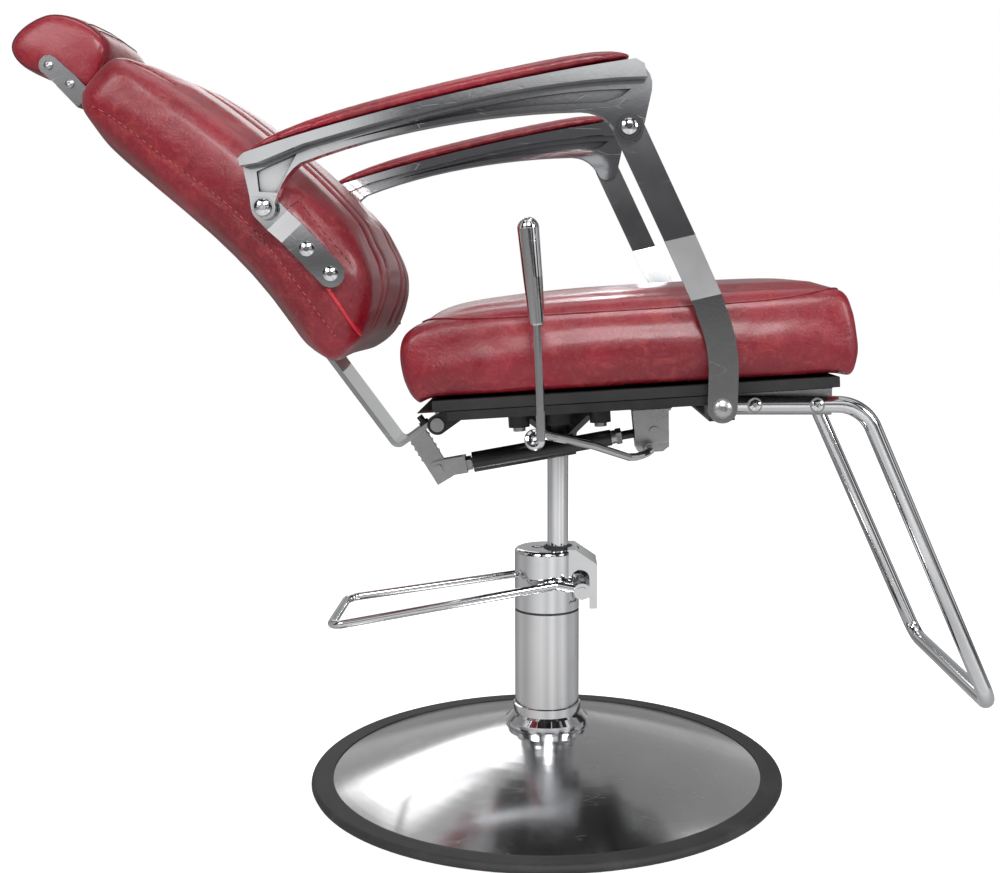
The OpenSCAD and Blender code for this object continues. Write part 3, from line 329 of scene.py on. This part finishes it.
rise = put(dusty_skin, "ShaderNodeBump",
           {"Height": fine.outputs["Fac"], "Strength": given["Grain Depth"]}, Distance=0.0005)
dusty_skin.links.new(rise.outputs["Normal"], result["Normal"])


def skinned(name, colour, dust, dustiness, roughness, grain, depth):
    """Paint, rubber, sheet or thread with the shared dusty skin."""
    return with_effect(name, dusty_skin, {
        "Colour": colour, "Dust": dust, "Dustiness": dustiness, "Roughness": roughness,
        "Grain": grain, "Grain Depth": depth})[0]


black_rubber = skinned("black_rubber", (0.028, 0.028, 0.029), (0.085, 0.083, 0.08),
                       dustiness=0.55, roughness=0.62, grain=520.0, depth=0.5)
finish(black_rubber, "base_ring", "pump_seal", "piston_wiper")

# ---------------------------------------------------------------- pump and pedal
# The pump's barrel stands in a chromed cover tube under a cast head. The pedal is a bent chromed
# loop on a steel shaft, and a folded, plated hood covers the shaft's arm.
barrel_steel = plated("drawn_steel", (0.50, 0.50, 0.51), (0.42, 0.42, 0.43),
                      least=0.16, most=0.28, grain=260.0, depth=0.06)
zinc = plated("bright_zinc", (0.56, 0.565, 0.57), (0.44, 0.44, 0.45),
              least=0.20, most=0.36, grain=150.0, depth=0.14)
finish(chrome, "pump_cover", "pump_head", "pump_pedal", "piston", "pedal_hood")
finish(barrel_steel, "pump_barrel", "pedal_lug")
finish(zinc, "filler_screw", "pedal_shaft")

# ---------------------------------------------------------------- seat mount and frame
# The cast mount, the welded frame and the strut's cylinder are stove-enamelled black; the bolts,
# the folded brackets and the strut's fittings are zinc plated.
black_enamel = skinned("black_enamel", (0.010, 0.010, 0.011), (0.06, 0.06, 0.06),
                       dustiness=0.25, roughness=0.32, grain=280.0, depth=0.22)
black_enamel.node_tree.nodes["Principled BSDF"].inputs["Coat Weight"].default_value = 0.3
finish(black_enamel, "seat_mount", "seat_frame", "strut_cylinder", "stop_screw")
finish(zinc, "mount_bolts", "hinge_pin", "strut_bracket", "strut_pin", "lever_sleeve",
       "strut_nut", "strut_rod", "strut_clevis", "clevis_pin", "strut_lever", "strap_screws")

# ---------------------------------------------------------------- seat board and dust cover
# A thin black non-woven sheet closes the underside. The board that carries the cushion is plywood,
# stained black, and the cushion's cover is stapled to it.
dust_sheet = skinned("dust_sheet", (0.011, 0.011, 0.011), (0.05, 0.05, 0.05),
                     dustiness=0.5, roughness=0.80, grain=900.0, depth=0.7)
stained_board = skinned("stained_board", (0.012, 0.011, 0.011), (0.045, 0.043, 0.04),
                        dustiness=0.4, roughness=0.70, grain=240.0, depth=0.5)
finish(dust_sheet, "dust_cover")
finish(stained_board, "seat_board")

# ---------------------------------------------------------------- seat cushion
# Foam under marbled red leathercloth, drawn down over the board and stapled below. The top panel is
# sewn to the side band along the cushion's upper edge, where the seam shows as a thin raised line.
marbled_hide, given, result = effect(
    "marbled_hide",
    [("Place", "Vector", None), ("Deep", "Color", (0.3, 0.01, 0.03, 1)),
     ("Body", "Color", (0.4, 0.02, 0.05, 1)), ("Bloom", "Color", (0.5, 0.1, 0.1, 1)),
     ("Roughness", "Float", 0.4), ("Creases", "Float", 0.5)],
    [("Colour", "Color"), ("Roughness", "Float"), ("Normal", "Vector")])
cloud = put(marbled_hide, "ShaderNodeTexNoise", {"Vector": given["Place"]},
            Scale=7.0, Detail=3.0, Distortion=0.4)
streak = put(marbled_hide, "ShaderNodeTexNoise", {"Vector": given["Place"]},
             Scale=46.0, Detail=9.0, Roughness=0.76, Distortion=0.9)
fleck = put(marbled_hide, "ShaderNodeTexNoise", {"Vector": given["Place"]},
            Scale=190.0, Detail=5.0, Roughness=0.7, Distortion=0.5)
grain = put(marbled_hide, "ShaderNodeTexVoronoi", {"Vector": given["Place"]},
            feature="SMOOTH_F1", Scale=520.0)
clouded = ramp(marbled_hide, cloud.outputs["Fac"], [(0.36, 0.0), (0.62, 1.0)])
streaked = ramp(marbled_hide, streak.outputs["Fac"], [(0.50, 0.0), (0.60, 0.28), (0.76, 0.75)])
flecked = ramp(marbled_hide, fleck.outputs["Fac"], [(0.54, 0.0), (0.72, 0.42)])
ground = blend(marbled_hide, clouded, given["Deep"], given["Body"])
veined = blend(marbled_hide, streaked, ground, given["Bloom"])
marbled_hide.links.new(blend(marbled_hide, flecked, veined, given["Bloom"]), result["Colour"])
marbled_hide.links.new(
    calc(marbled_hide, "MULTIPLY_ADD", streak.outputs["Fac"], 0.20, given["Roughness"]),
    result["Roughness"])
crease = put(marbled_hide, "ShaderNodeBump",
             {"Height": streak.outputs["Fac"], "Strength": given["Creases"]}, Distance=0.0016)
pores = put(marbled_hide, "ShaderNodeBump",
            {"Height": grain.outputs["Distance"], "Normal": crease.outputs["Normal"]},
            Strength=0.16, Distance=0.0005)
marbled_hide.links.new(pores.outputs["Normal"], result["Normal"])


def hide(name, deep, body, bloom, roughness, creases, coat):
    """Marbled leathercloth: three reds, its roughness, its creases' height and its lacquer."""
    material, shader = with_effect(name, marbled_hide, {
        "Deep": deep, "Body": body, "Bloom": bloom, "Roughness": roughness, "Creases": creases})
    shader.inputs["Coat Weight"].default_value = coat
    shader.inputs["Coat Roughness"].default_value = 0.22
    return material


red_hide = hide("red_leathercloth", (0.165, 0.0010, 0.010), (0.275, 0.003, 0.017),
                (0.40, 0.055, 0.048), roughness=0.20, creases=0.85, coat=0.35)
red_piping = hide("red_piping", (0.46, 0.004, 0.020), (0.56, 0.010, 0.030), (0.62, 0.06, 0.06),
                  roughness=0.30, creases=0.2, coat=0.4)
# Painted shade: a darker, unlacquered copy of the red leathercloth, for cords along seams, channels
# and welts that stand for the shade in their folds
painted_shade_seam = hide("seam_fold_painted_shade", (0.085, 0.004, 0.010), (0.12, 0.006, 0.014), (0.18, 0.02, 0.02),
                 roughness=0.55, creases=0.3, coat=0.0)
pale_thread = skinned("sewing_thread", (0.50, 0.09, 0.07), (0.62, 0.22, 0.18),
                      dustiness=0.5, roughness=0.55, grain=900.0, depth=0.6)

MM = 1000                    # millimetres in a metre
WELD_DISTANCE = 0.00002
CLOTH_FRAMES = 14
CLOTH_PRESSURE = 4
CLOTH_QUALITY = 3
SEAM_REACH = 3               # widths from its line at which a seam stops pulling
STITCH_POINTS = 3
STITCH_EVERY = 4             # points from one stitch's start to the next one's


def applied(thing):
    """A mesh of the object as its modifiers leave it."""
    ready = thing.evaluated_get(bpy.context.evaluated_depsgraph_get())
    return bpy.data.meshes.new_from_object(ready)


def set_in(piece):
    """Applies the piece's modifiers to its mesh."""
    done = applied(piece)
    piece.modifiers.clear()
    piece.data = done


def surfaced(mesh, material):
    """Gives the whole mesh one material and smooth faces."""
    mesh.materials.clear()
    mesh.materials.append(material)
    for polygon in mesh.polygons:
        polygon.use_smooth = True


def eased(mesh, rounds, sink):
    """Smooths a mesh a few rounds and draws it in along its normals by sink."""
    bm = bmesh.new()
    bm.from_mesh(mesh)
    for _ in range(rounds):
        bmesh.ops.smooth_vert(bm, verts=bm.verts, factor=0.5,
                              use_axis_x=True, use_axis_y=True, use_axis_z=True)
    bm.normal_update()
    for vertex in bm.verts:
        vertex.co -= vertex.normal * sink
    bm.to_mesh(mesh)
    bm.free()


def blown_up(piece, swell, held):
    """The foam's pressure on the cover: no point goes inwards, or further out than swell."""
    start = [(vertex.co.copy(), vertex.normal.copy()) for vertex in piece.data.vertices]
    staples = piece.vertex_groups.new(name="staples")
    staples.add([vertex.index for vertex in piece.data.vertices if held(vertex.co)],
                1.0, "REPLACE")
    cloth = piece.modifiers.new("cloth", "CLOTH")
    cloth.settings.quality = CLOTH_QUALITY
    cloth.settings.use_pressure = True
    cloth.settings.uniform_pressure_force = CLOTH_PRESSURE
    cloth.settings.effector_weights.gravity = 0
    cloth.settings.vertex_group_mass = "staples"
    for moment in range(1, CLOTH_FRAMES + 1):
        bpy.context.scene.frame_set(moment)
    set_in(piece)
    bpy.context.scene.frame_set(1)
    for vertex, (before, out) in zip(piece.data.vertices, start):
        step = vertex.co - before
        sunk = step.dot(out)
        if sunk < 0:
            step -= out * sunk
        if step.length > swell:
            step *= swell / step.length
        vertex.co = before + step
    piece.vertex_groups.clear()


def cover(node, name, body, sink, cell, swell, held):
    """The sewn cover of a foam pad: the pad's form is remeshed in cells, drawn in by sink and blown
    up by at most swell. held(point) tells where it is stapled."""
    bm = bmesh.new()
    bm.from_mesh(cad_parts[node].data)
    bmesh.ops.remove_doubles(bm, verts=bm.verts, dist=WELD_DISTANCE)
    mesh = bpy.data.meshes.new(name)
    bm.to_mesh(mesh)
    bm.free()
    piece = add(name, mesh)
    cells = piece.modifiers.new("cells", "REMESH")
    cells.mode = "VOXEL"
    cells.voxel_size = cell
    set_in(piece)
    eased(piece.data, rounds=2, sink=sink)
    blown_up(piece, swell, held)
    eased(piece.data, rounds=3, sink=0)
    surfaced(piece.data, red_hide)
    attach(piece, body)
    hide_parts(node)
    return piece


def dense(points, step=0.002, closed=False):
    """A smooth curve through the points, sampled every step."""
    points = [Vector(point) for point in points]
    count = len(points)
    line = []
    for index in range(count if closed else count - 1):
        if closed:
            a, b, c, d = (points[(index + k) % count] for k in (-1, 0, 1, 2))
        else:
            a, b, c, d = (points[min(max(index + k, 0), count - 1)] for k in (-1, 0, 1, 2))
        parts = max(1, round((c - b).length / step))
        for part in range(parts):
            u = part / parts
            line.append(0.5 * (2 * b + (c - a) * u + (2 * a - 5 * b + 4 * c - d) * u * u
                               + (3 * b - a - 3 * c + d) * u ** 3))
    return line if closed else line + [points[-1]]


def laid_on(piece, rays):
    """The points at which the rays (start, way) first meet the piece."""
    surface = BVHTree.FromPolygons([vertex.co for vertex in piece.data.vertices],
                                   [tuple(polygon.vertices) for polygon in piece.data.polygons])
    hits = [surface.ray_cast(start, way)[0] for start, way in rays]
    return [hit for hit in hits if hit is not None]


def drawn_in(piece, line, depth, width):
    """Pulls the cover in along a seam, by depth on the line and less beside it."""
    seam = KDTree(len(line))
    for index, point in enumerate(line):
        seam.insert(point, index)
    seam.balance()
    normals = [vertex.normal.copy() for vertex in piece.data.vertices]
    for vertex, normal in zip(piece.data.vertices, normals):
        gap = seam.find(vertex.co)[2]
        if gap < SEAM_REACH * width:
            vertex.co -= normal * depth * math.exp(-(gap / width) ** 2)


def run(name, paths, radius, material, body, closed=False):
    """Round cord, piping or thread laid along the paths, as one mesh."""
    curve = bpy.data.curves.new(name, "CURVE")
    curve.dimensions = "3D"
    curve.bevel_depth = radius
    curve.bevel_resolution = 1
    curve.use_fill_caps = True
    for points in paths:
        spline = curve.splines.new("POLY")
        spline.points.add(len(points) - 1)
        spline.use_cyclic_u = closed
        for knot, point in zip(spline.points, points):
            knot.co = (*point, 1)
    shape = add(name + "_path", curve)
    mesh = applied(shape)
    bpy.data.objects.remove(shape)
    piece = add(name, mesh)
    surfaced(mesh, material)
    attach(piece, body)


def stitches(line):
    """Short dashes along a line of points 2 mm apart: one 4 mm stitch in every 8 mm."""
    return [line[index:index + STITCH_POINTS]
            for index in range(0, len(line) - STITCH_POINTS, STITCH_EVERY)]


def rounded(piece):
    """One subdivision, the same in the view and in the render."""
    finer = piece.modifiers.new("rounded", "SUBSURF")
    finer.levels = finer.render_levels = 1


SEAT_LEAN = math.radians(3.5)
SEAT_X, SEAT_Z = 14, 500     # millimetres, as the seat's and the back's other sizes are
SEAT_MIDDLE = 84
SEAT_HALF_LENGTH, SEAT_HALF_WIDTH = 246, 236
SEAT_CORNER = 7              # power of the rounded outline
SEAT_SEAM_LEVEL = 116
STAPLED_BELOW = 24
SEAM_RAYS = 120
RAY_START, RAY_AIM = 80, 20  # how far outside and inside the edge a ray starts and aims


def seat_place(x, y, z):
    """A point of the seat in the chair's frame, from millimetres along the seat frame."""
    return Vector((SEAT_X + x * math.cos(SEAT_LEAN) - z * math.sin(SEAT_LEAN), y,
                   SEAT_Z + x * math.sin(SEAT_LEAN) + z * math.cos(SEAT_LEAN))) / MM


def seat_level(point):
    """How far a point lies above the seat's board, in millimetres."""
    return (-(point.x * MM - SEAT_X) * math.sin(SEAT_LEAN)
            + (point.z * MM - SEAT_Z) * math.cos(SEAT_LEAN))


def seat_edge_ray(angle):
    """A ray onto the cushion's upper edge at an angle about its middle."""
    out = Vector((math.cos(angle), math.sin(angle)))
    reach = (abs(out.x / SEAT_HALF_LENGTH) ** SEAT_CORNER
             + abs(out.y / SEAT_HALF_WIDTH) ** SEAT_CORNER) ** (-1 / SEAT_CORNER)
    across = Vector((
        out.x * abs(out.x) ** (SEAT_CORNER - 2) / SEAT_HALF_LENGTH ** (SEAT_CORNER - 1),
        out.y * abs(out.y) ** (SEAT_CORNER - 2) / SEAT_HALF_WIDTH ** (SEAT_CORNER - 1)))
    across.normalize()
    start, aim = (seat_place(SEAT_MIDDLE + out.x * reach + across.x * away,
                             out.y * reach + across.y * away, SEAT_SEAM_LEVEL + away)
                  for away in (RAY_START, -RAY_AIM))
    return start, (aim - start).normalized()


seat = cover("seat_cushion", "seat_cover", "seat", sink=0.0025, cell=0.0064, swell=0.006,
             held=lambda point: seat_level(point) < STAPLED_BELOW)
edge_rays = [seat_edge_ray(2 * math.pi * step / SEAM_RAYS) for step in range(SEAM_RAYS)]
seat_edge = dense(laid_on(seat, edge_rays), step=0.003, closed=True)
drawn_in(seat, seat_edge, depth=0.0007, width=0.005)
rounded(seat)
run("seat_edge_seam", [seat_edge], radius=0.0011, material=red_hide, body="seat", closed=True)

# ---------------------------------------------------------------- footrest
# One steel tube, bent six times and chromed. Two zinc-plated angle plates hold it, and bolts with
# shaped saddles clamp it to them.
finish(chrome, "footrest_tube", "footrest_bolts")
finish(zinc, "footrest_plates")

# ---------------------------------------------------------------- back strap
# The strap up the rear of the back is chromed flat bar. Three screws hold it to the back's board,
# and its foot is bent round the hinge pin.
finish(chrome, "back_strap")

# ---------------------------------------------------------------- back cushion
# Foam on a shaped board: a front panel with sewn channels, side bands, and a separate rear panel
# whose seam is topstitched. Piping closes the side seam under the bracket.
BACK_LEAN = math.radians(43.5)
BACK_X, BACK_Z = -215, 552
BOARD_HALF_DEPTH = 2.0
BOARD_HALF_WIDTH = 0.19      # metres
SIDE_START = 330             # where rays onto the sides and the front start
FRONT_START = 200
SEAM_STEP = 2
CHANNELS = (-128, -72, 72, 128)
CHANNEL_FOOT, CHANNEL_TOP = 22, 392
THREAD_LIFT = 0.0006         # metres


def back_place(n, t, y):
    """A point of the back in the chair's frame: n out of the back's plane, t up it, in mm."""
    return Vector((BACK_X + n * math.cos(BACK_LEAN) - t * math.sin(BACK_LEAN), y,
                   BACK_Z + n * math.sin(BACK_LEAN) + t * math.cos(BACK_LEAN))) / MM


def back_depth(point):
    """n of a point of the back, in millimetres."""
    return ((point.x * MM - BACK_X) * math.cos(BACK_LEAN)
            + (point.z * MM - BACK_Z) * math.sin(BACK_LEAN))


INTO_BACK = (back_place(-1, 0, 0) - back_place(0, 0, 0)).normalized()


def side_seam(piece, corners, side):
    """A line on the side of the back: corners are its (t, n), side is -1 right or 1 left."""
    level = dense([(n, t, 0) for t, n in corners], SEAM_STEP)
    return laid_on(piece, [(back_place(p.x, p.y, side * SIDE_START), Vector((0, -side, 0)))
                           for p in level])


def channel_seam(piece, y):
    """The line of a sewn channel up the front of the back at y."""
    count = (CHANNEL_TOP - CHANNEL_FOOT) // SEAM_STEP + 1
    return laid_on(piece, [(back_place(FRONT_START, CHANNEL_FOOT + SEAM_STEP * step, y), INTO_BACK)
                           for step in range(count)])


back = cover("back_cushion", "back_cover", "back", sink=0.0025, cell=0.0064, swell=0.006,
             held=lambda point: (abs(back_depth(point)) < BOARD_HALF_DEPTH
                                 and abs(point.y) < BOARD_HALF_WIDTH))
rear_line = [(399, -13), (370, -1), (286, 13), (197, 26), (110, 20), (33, 8)]
top_line = [(404, 52), (382, 62), (350, 72)]
bolster_line = [(166, 83), (137, 80), (79, 76)]
short_lines = [[(167, 68), (166, 86)], [(165, 33), (165, 28)]]
piping_line = [(77, 40), (40, 32), (19, 27), (-7, 22)]
for channel in [channel_seam(back, y) for y in CHANNELS]:
    drawn_in(back, channel, depth=0.0030, width=0.0065)
for side in (-1, 1):
    for corners, depth in ((rear_line, 0.0022), (top_line, 0.0014), (bolster_line, 0.0018)):
        drawn_in(back, side_seam(back, corners, side), depth, width=0.005)
    for corners in short_lines + [piping_line]:
        drawn_in(back, side_seam(back, corners, side), depth=0.0016, width=0.004)
threads, folds, pipes = [], [], []
for side in (-1, 1):
    for corners in (rear_line, top_line, bolster_line):
        line = side_seam(back, corners, side)
        folds.append(line)
        threads += stitches([point + Vector((0, side * THREAD_LIFT, 0)) for point in line])
    folds += [side_seam(back, corners, side) for corners in short_lines]
    pipes.append(side_seam(back, piping_line, side))
folds += [channel_seam(back, y) for y in CHANNELS]
rounded(back)
# Painted shade: the seam cords on the back use the darker copy of the leathercloth
run("back_seams", [line for line in folds if len(line) > 1],
    radius=0.0007, material=painted_shade_seam, body="back")
run("back_stitches", [line for line in threads if len(line) > 1],
    radius=0.00045, material=pale_thread, body="back")
run("back_piping", pipes, radius=0.0026, material=red_piping, body="back")

# ---------------------------------------------------------------- brackets and headrest
# The bent brackets on the back's sides are chromed strip. The headrest is a shaped pad with a
# corded edge on either end, on a plated U bracket whose post slides in the back's socket.
BRACKET_FACE = -25
BRACKET_HALF_WIDTH = 0.03    # metres
HEADREST_N, HEADREST_T = -6, 506
LOOP_RAYS = 72
LOOP_START = 120
WELTS = (-75, 75)
CROSS_SEAMS = (494, 508)
CROSS_START = 100
CROSS_HALF, CROSS_STEP = 72, 3
satin_nickel = plated("satin_nickel", (0.22, 0.22, 0.225), (0.17, 0.17, 0.175),
                      least=0.22, most=0.34, grain=220.0, depth=0.08)
finish(chrome, "back_bracket_right", "back_bracket_left", "bracket_screws", "arm_rear_bolts")
finish(satin_nickel, "headrest_socket", "headrest_bracket")
finish(zinc, "headrest_screws")
headrest = cover("headrest_cushion", "headrest_cover", "headrest",
                 sink=0.002, cell=0.0045, swell=0.004,
                 held=lambda point: (back_depth(point) < BRACKET_FACE
                                     and abs(point.y) < BRACKET_HALF_WIDTH))


def headrest_loop(y):
    """The line round the headrest pad at y."""
    middle = back_place(HEADREST_N, HEADREST_T, y)
    rays = []
    for step in range(LOOP_RAYS):
        angle = 2 * math.pi * step / LOOP_RAYS
        start = back_place(HEADREST_N + LOOP_START * math.cos(angle),
                           HEADREST_T + LOOP_START * math.sin(angle), y)
        rays.append((start, (middle - start).normalized()))
    return dense(laid_on(headrest, rays), step=0.003, closed=True)


for loop in [headrest_loop(y) for y in WELTS]:
    drawn_in(headrest, loop, depth=0.0008, width=0.004)
crossings = [laid_on(headrest, [(back_place(CROSS_START, t, y), INTO_BACK)
                                for y in range(-CROSS_HALF, CROSS_HALF + 1, CROSS_STEP)])
             for t in CROSS_SEAMS]
for line in crossings:
    drawn_in(headrest, dense(line), depth=0.0012, width=0.004)
rounded(headrest)
# Painted shade: the headrest's welts and cross seams are cords in the darker copy of the
# leathercloth
run("headrest_welts", [headrest_loop(y) for y in WELTS],
    radius=0.0013, material=painted_shade_seam, body="headrest", closed=True)
run("headrest_seams", crossings, radius=0.0007, material=painted_shade_seam, body="headrest")

# ---------------------------------------------------------------- arms
# The arm frames are cast alloy, ground and chromed, with a recessed web. Painted shade darkens the
# chrome's colour in the web's corners and recesses. Each carries a slim padded armrest.
PAINTED_SHADE_REACH = 0.016
arm_chrome = plated("arm_chrome", (0.90, 0.905, 0.92), (0.82, 0.83, 0.85),
                    least=0.03, most=0.08, grain=240.0, depth=0.02)
tree = arm_chrome.node_tree
base_colour = tree.nodes["Principled BSDF"].inputs["Base Color"]
# Painted shade: an occlusion node darkens the chrome's colour in corners, recesses and close to
# other parts
painted_shade_openness = put(tree, "ShaderNodeAmbientOcclusion", Distance=PAINTED_SHADE_REACH, samples=4)
corners = ramp(tree, painted_shade_openness.outputs["AO"], [(0.45, 0.07), (0.80, 1.0)])
tree.links.new(blend(tree, 1.0, base_colour.links[0].from_socket, corners, "MULTIPLY"),
               base_colour)
finish(arm_chrome, "arm_frame_right", "arm_frame_left")
finish(chrome, "arm_bolt_right", "arm_bolt_left")
for side in ("right", "left"):
    pad = cover("arm_pad_" + side, "armrest_cover_" + side, "arm_" + side,
                sink=0.0012, cell=0.0036, swell=0.0018, held=lambda point: False)
    rounded(pad)

# ---------------------------------------------------------------- upright bars
# Flat steel bars, ground and nickel plated to a grey polish. They turn on bolts at the seat frame
# and step outwards to the arms.
grey_nickel = plated("grey_nickel", (0.52, 0.52, 0.53), (0.42, 0.42, 0.43),
                     least=0.10, most=0.20, grain=300.0, depth=0.05)
finish(grey_nickel, "upright_right", "upright_left")
finish(zinc, "upright_bolts")

# ---------------------------------------------------------------- release lever
# A bent chromed rod with one tight loop round its pivot, which turns in the sleeve on the strut's
# bracket. The grip is turned, chromed and pressed on the rod's upper end.
finish(chrome, "release_lever", "lever_grip")
